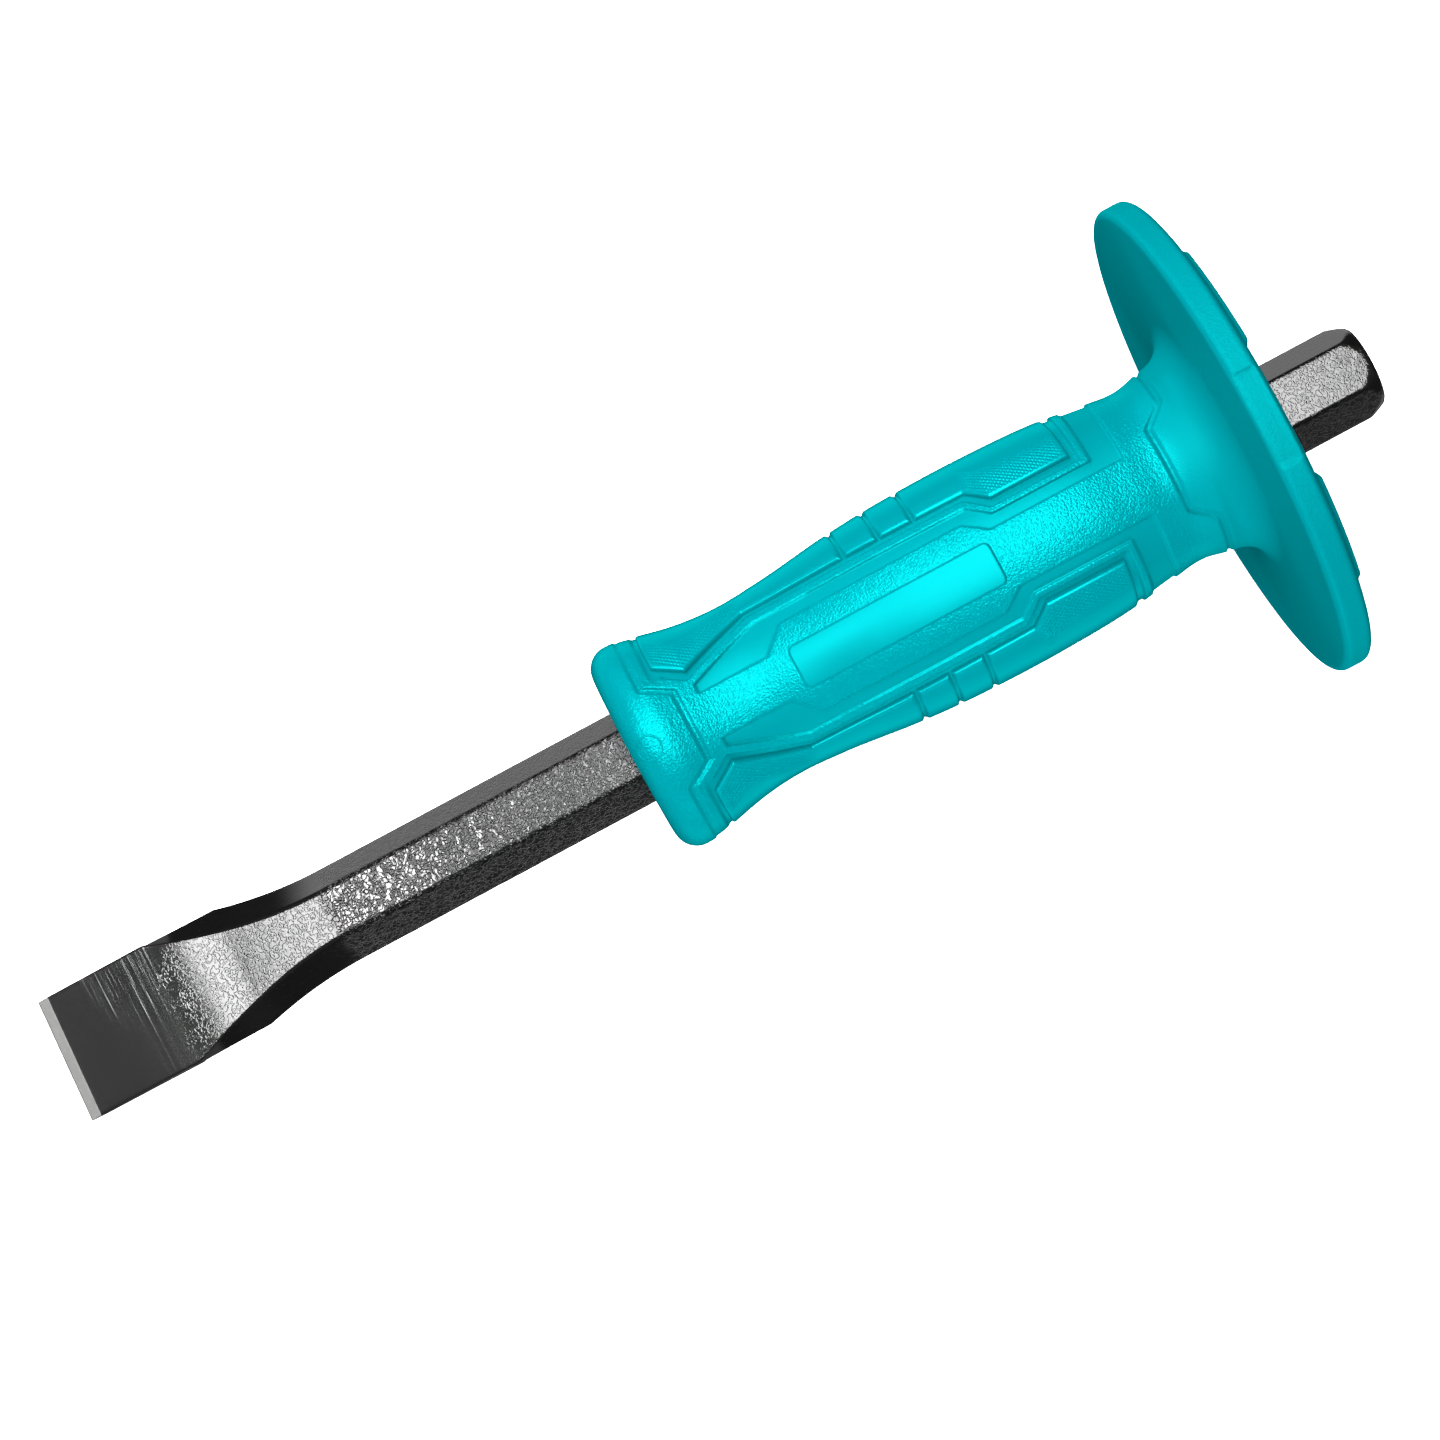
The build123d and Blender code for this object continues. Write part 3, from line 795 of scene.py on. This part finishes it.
    on_rear = on_outside & (x >= GUARD_REAR - 1e-6)
    start_slope = ease(pad_start, pad_start + REAR_PAD_SLOPE, fold)
    sweep = start_slope * (1 - ease(pad_end - REAR_PAD_SLOPE, pad_end, fold))
    width = ease(pad_inner, pad_inner + 0.6, radius) * (1 - ease(pad_outer - 0.6, pad_outer, radius))
    x = x + REAR_PAD_HEIGHT * np.where(on_rear, sweep * width, 0)
    return seated_points(x, radius, angle), grain, dull_and_shade


def make_grip(settings, material):
    """The grip and guard as one closed ring round the bar."""
    points, grain, dull_and_shade = grip_surface(settings)
    rows, columns = points.shape[:2]
    faces = sheet_faces(rows, columns, True)[:, ::-1]
    grip = new_piece("grip_and_guard", points, faces, material=material)
    add_share(grip, "grain", grain)
    # Dullness, which also paints shade into the channels and the flare
    add_share(grip, "dull_and_shade", dull_and_shade)
    return grip


def pad_surface(side, settings):
    """Points of one finger pad, a closed cushion on one side of the grip: side is 1 or -1.

    Rows run along the tool and columns from one long edge round the side to the other. The
    height falls off in a quarter circle towards every edge, and dips in the cross grooves.
    """
    first, last = PAD_EDGE[0][0] - 0.3, PAD_EDGE[-1][0] + 0.3
    x = stations_of((first, first + 1.2, 0.12), (first + 1.2, 32, 0.18), (32, 50, 0.5),
                    (50, 67.5, 0.22), (67.5, 74, 0.5), (74, last - 1.2, 0.18), (last - 1.2, last, 0.12))
    outline = [(first, PAD_EDGE[0][1] + 0.2)] + PAD_EDGE[1:-1] + [(last, PAD_EDGE[-1][1])]
    edge_line = np.array(unrolled(outline))
    radius = body_radius(x)
    edge = np.interp(x, edge_line[:, 0], edge_line[:, 1])
    quarter_arc = radius * QUARTER
    knurled = 8.0
    inward = np.concatenate([np.linspace(0, 1.2, 9)[:-1], np.linspace(1.2, knurled, 38)])
    half = [edge[:, None] + inward[None, :]]
    shares = np.linspace(0, 1, 9)[1:]
    half.append((edge + knurled)[:, None] + shares * (quarter_arc - edge - knurled)[:, None])
    half = np.concatenate(half, 1)
    arc = np.concatenate([half, (2 * quarter_arc[:, None] - half[:, ::-1])[:, 1:]], 1)
    fold = np.minimum(arc, 2 * quarter_arc[:, None] - arc)
    x_grid = np.broadcast_to(x[:, None], arc.shape)

    run_middles = (edge_line[1:, 0] + edge_line[:-1, 0]) / 2
    slope = np.interp(x, run_middles, np.diff(edge_line[:, 1]) / np.diff(edge_line[:, 0]))
    from_edge = (fold - edge[:, None]) / np.sqrt(1 + slope[:, None] ** 2)
    from_end = np.minimum(x_grid - first, last - x_grid)
    inner = soft_min(from_edge, from_end, 0.3)
    round_over = 0.75
    short = np.clip(round_over - inner, 0, round_over)
    drop = round_over - np.sqrt(round_over ** 2 - short ** 2)
    for middle in CROSS_GROOVES:
        half_width = 0.5 + 0.15 * (1 - ease(0.5, 3.5, from_edge))
        notch = 1 - ease(0, 1, np.abs(x_grid - middle) / (half_width + 0.25))
        deep = 0.6 + 0.4 * (1 - ease(0.5, 4.0, from_edge))
        drop = np.maximum(drop, deep * notch)
    knurl_share = ease(0.5, 1.3, inner) * (1 - ease(4.0, knurled, from_edge))
    knurl_share *= 1 - ease(27.0, 31.0, x_grid) * (1 - ease(75.0, 77.5, x_grid))
    pitch_along, pitch_across = 1.05, 0.95
    knurl = np.cos(2 * math.pi * x_grid / pitch_along) * np.cos(2 * math.pi * fold / pitch_across)
    height = radius[:, None] - drop + settings.knurl_height * knurl_share * knurl

    under = radius[:, None] - settings.pad_depth - 0.6
    closing = np.broadcast_to(under, height.shape)
    top = np.concatenate([height, closing[:, ::-1]], 1)
    angles = arc / radius[:, None]
    angles = np.concatenate([angles, angles[:, ::-1]], 1)
    x_all = np.broadcast_to(x[:, None], angles.shape)
    return seated_points(x_all, top, side * angles)


def make_name_plate(material):
    """A blank raised plate on the middle panel.

    Rows run along the tool and columns across it, out to a rectangle with round corners. The
    height rises in a smooth step within the first half millimetre from that outline.
    """
    half_length, half_width, height, corner = 20.5, 4.4, 0.35, 1.4
    middle = 53.9           # grip's front to the plate's middle
    x = stations_of((-half_length, 1.6 - half_length, 0.1), (1.6 - half_length, half_length - 1.6, 0.6),
                    (half_length - 1.6, half_length, 0.1))
    share = stations_of((-1.0, -0.84, 0.02), (-0.84, 0.84, 0.12), (0.84, 1.0, 0.02))
    past_corner = np.clip(np.abs(x) - half_length + corner, 0, corner)
    limit = half_width - corner + np.sqrt(corner ** 2 - past_corner ** 2)
    across = share * limit[:, None]
    past_side = np.clip(np.abs(across) - half_width + corner, 0, None)
    inset = corner - np.hypot(past_corner[:, None], past_side)
    along = np.broadcast_to(x[:, None] + middle, across.shape)
    base = body_radius(along)
    top = base + height * ease(0, 0.5, inset) - 0.02
    radius = np.concatenate([top, base[:, ::-1] - 0.5], 1)
    angle = across / base
    angle = np.concatenate([angle, angle[:, ::-1]], 1)
    points = seated_points(np.concatenate([along, along], 1), radius, angle)
    plate = closed_tube("blank_name_plate", points, True, material)
    # This share dulls the plate and also darkens its colour slightly, as painted shade
    add_share(plate, "dull_and_shade", np.full(points.shape[:2], 0.35))
    return plate


def make_gate_ring(material):
    """Thin raised witness ring of the moulding gate: a small tube bent round on the collar."""
    middle, ring_radius, tube, sunk = 3.6, 2.3, 0.2, 0.06
    around, tube_turn = [np.linspace(0, 2 * math.pi, count, endpoint=False) for count in (64, 10)]
    around, tube_turn = np.meshgrid(around, tube_turn, indexing="ij")
    reach = ring_radius + tube * np.cos(tube_turn)
    along = middle + reach * np.cos(around)
    across = reach * np.sin(around)
    corner = np.clip(COLLAR_CORNER - along, 0, COLLAR_CORNER)
    collar = BODY_RADII[0] - COLLAR_CORNER + np.sqrt(COLLAR_CORNER ** 2 - corner ** 2)
    surface = np.where(along < COLLAR_CORNER, collar, body_radius(along))
    radius = surface + tube * np.sin(tube_turn) - sunk
    angle = across / radius
    points = seated_points(along, radius, angle)
    rows, columns = points.shape[:2]
    return new_piece("gate_witness_ring", points, sheet_faces(rows, columns, True), material=material)


# ---------------- operators

class CHISEL_OT_bar(bpy.types.Operator):
    """Make the forged, ground and lacquered bar"""

    bl_idname = "chisel.bar"
    bl_label = "Forged bar"

    def execute(self, context):
        bar = make_bar(context.scene.chisel_bar)
        place_piece(bar, "black_lacquered_steel", "chisel_bar")
        return {"FINISHED"}


class CHISEL_OT_grip(bpy.types.Operator):
    """Make the moulded grip with its guard, finger pads, blank plate and gate ring"""

    bl_idname = "chisel.grip"
    bl_label = "Moulded grip"

    def execute(self, context):
        settings = context.scene.chisel_grip
        material = moulded_grip_material(settings)
        pieces = [
            make_grip(settings, material),
            closed_tube("finger_pad_left", pad_surface(1, settings), True, material),
            closed_tube("finger_pad_right", pad_surface(-1, settings), False, material),
            make_name_plate(material),
            make_gate_ring(material)]
        for piece in pieces:
            place_piece(piece, "soft_moulded_grip", "grip_cover")
        return {"FINISHED"}


class CHISEL_OT_sleeve(bpy.types.Operator):
    """Give the stiff inner sleeve its moulded finish"""

    bl_idname = "chisel.sleeve"
    bl_label = "Inner sleeve"

    def execute(self, context):
        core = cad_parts["grip_core"]
        core.data.materials.clear()
        core.data.materials.append(sleeve_material(context.scene.chisel_grip))
        return {"FINISHED"}


def studio_frame():
    """The studio stands square to the grip, which is turned a little on the bar."""
    return Matrix.Rotation(GRIP_TURN, 4, "X")


def add_soft_box(name, place, size, radiance, aim=None, mirrored=True):
    """A rectangular soft box round a place, both in mm, that faces straight down or towards aim.

    Its power is its radiance times pi times its area. A fill light is not mirrored: it is
    flagged off, so that it lights the pigment and leaves no reflection.
    """
    light = bpy.data.lights.new(name, "AREA")
    light.shape = "RECTANGLE"
    light.size, light.size_y = size[0] * MM, size[1] * MM
    light.energy = radiance * math.pi * light.size * light.size_y
    lamp = bpy.data.objects.new(name, light)
    bpy.context.scene.collection.objects.link(lamp)
    place = Vector(place) * MM
    target = Vector(aim) * MM if aim else place - Vector((0, 0, 1))
    facing = (target - place).to_track_quat("-Z", "Y").to_matrix().to_4x4()
    lamp.matrix_world = studio_frame() @ Matrix.Translation(place) @ facing
    lamp.visible_camera = False
    lamp.visible_glossy = mirrored


def studio_world():
    """A dim room: pale from below, dark round the horizon, and a low even light from above."""
    world = bpy.data.worlds.new("studio_world")
    world.use_nodes = True
    tree = world.node_tree
    way = add_node(tree, "TexCoord").outputs["Generated"]
    split = add_node(tree, "SeparateXYZ", inputs={0: way})
    height = split.outputs["Z"]
    aside = add_node(tree, "Math", {"operation": "ABSOLUTE"}, {0: split.outputs["Y"]})
    below = add_node(tree, "MapRange", SMOOTH, {0: height, 1: -0.38, 2: -0.58})
    steep = add_node(tree, "MapRange", SMOOTH, {0: height, 1: -0.7, 2: -0.9, 3: 1.0, 4: 2.0})
    sides = add_node(tree, "MapRange", SMOOTH, {0: aside, 1: 0.42, 2: 0.68, 3: 0.02, 4: 0.93})
    above = add_node(tree, "MapRange", SMOOTH, {0: height, 1: 0.1, 2: 0.5, 3: 0.06, 4: 0.2})
    pale = add_node(tree, "Math", {"operation": "MULTIPLY"}, {0: below, 1: steep})
    level = add_node(tree, "Math", {"operation": "MULTIPLY_ADD"}, {0: pale, 1: sides, 2: above})
    feed(tree, tree.nodes["Background"], {"Strength": level, "Color": (1, 1, 1, 1)})
    return world


def floor_material(settings):
    """Matt white acrylic of a light table: very pale, lit from below, with no gloss."""
    material, tree, shader = new_material("white_light_table")
    mottle = add_node(tree, "TexNoise",
                      inputs={"Scale": 0.01, "Detail": 2.0, 0: object_millimetres(tree)})
    feed(tree, shader, {
        "Base Color": clouded(tree, mottle, settings.floor_colour, 0.995), "Roughness": 0.9,
        "Specular IOR Level": 0.1,
        "Emission Color": (1, 1, 1, 1), "Emission Strength": 0.45})
    return material


class CHISEL_OT_studio(bpy.types.Operator):
    """Make the pale floor, the soft lights and the camera"""

    bl_idname = "chisel.studio"
    bl_label = "Studio"

    def execute(self, context):
        settings = context.scene.chisel_studio
        scene = context.scene
        middle = Vector((EDGE_X + 136.0, -1.5, 0))
        floor_z = -GUARD_RADIUS - 0.5
        corners = 3000 * np.array([(-1, -1), (1, -1), (1, 1), (-1, 1)]) + (middle.x, 0)
        points = np.concatenate([corners, np.full((4, 1), floor_z)], 1)
        faces = np.array([[0, 1, 2, 3]])
        floor = new_piece("studio_floor", points, faces, material=floor_material(settings))
        floor.visible_diffuse = False
        floor.visible_glossy = False

        power = settings.light_scale
        for name, place, size, radiance in (
                ("overhead_box", (12, 365, 800), (316, 1270), 16.0),
                ("shank_box", (-225, 160, 800), (160, 280), 2.7),
                ("grain_strip", (-367, 190, 800), (125, 220), 38.0),
                ("blade_box", (-620, 220, 760), (122, 320), 21.0)):
            add_soft_box(name, place, size, radiance * power)
        grip_middle = (-115, 0, 0)
        for name, place, size, radiance in (
                ("end_fill", (-1000, 0, 350), (900, 500), 8.5),
                ("far_fill", (-160, 450, 75), (260, 200), 27.0),
                ("near_fill", (-160, -450, 75), (260, 200), 36.0)):
            add_soft_box(name, place, size, radiance * power, grip_middle, False)
        scene.world = studio_world()

        data = bpy.data.cameras.new("studio_camera")
        data.lens, data.sensor_width = 89.75, 36        # mm
        data.clip_start, data.clip_end = 0.01, 20
        camera = bpy.data.objects.new("studio_camera", data)
        scene.collection.objects.link(camera)
        place = Vector((middle.x, middle.y, settings.camera_distance / MM)) * MM
        turn = Matrix.Rotation(settings.camera_turn, 4, "Z")
        camera.matrix_world = studio_frame() @ Matrix.Translation(place) @ turn
        scene.camera = camera
        scene.view_settings.view_transform = "Standard"
        return {"FINISHED"}


class CHISEL_PT_panel(bpy.types.Panel):
    """Lists the chisel's pieces and their settings."""

    bl_idname = "CHISEL_PT_panel"
    bl_label = "Cold chisel"
    bl_space_type = "VIEW_3D"
    bl_region_type = "UI"
    bl_category = "Chisel"

    def draw(self, context):
        for group in (context.scene.chisel_bar, context.scene.chisel_grip, context.scene.chisel_studio):
            box = self.layout.box()
            for name in group.bl_rna.properties.keys():
                if name not in ("rna_type", "name"):
                    box.prop(group, name)
        for operator in OPERATORS:
            self.layout.operator(operator.bl_idname)


OPERATORS = (CHISEL_OT_studio, CHISEL_OT_bar, CHISEL_OT_sleeve, CHISEL_OT_grip)
SETTINGS = {
    "chisel_bar": ChiselBarSettings,
    "chisel_grip": GripSettings,
    "chisel_studio": StudioSettings,
}


def register():
    for group in SETTINGS.values():
        bpy.utils.register_class(group)
    for name, group in SETTINGS.items():
        setattr(bpy.types.Scene, name, PointerProperty(type=group))
    for item in (*OPERATORS, CHISEL_PT_panel):
        bpy.utils.register_class(item)


def unregister():
    for item in reversed((*OPERATORS, CHISEL_PT_panel)):
        bpy.utils.unregister_class(item)
    for name in SETTINGS:
        delattr(bpy.types.Scene, name)
    for group in reversed(SETTINGS.values()):
        bpy.utils.unregister_class(group)


def main():
    """Makes every piece in order."""
    register()
    for operator in OPERATORS:
        group, name = operator.bl_idname.split(".")
        getattr(getattr(bpy.ops, group), name)()


if __name__ == "__main__":
    main()
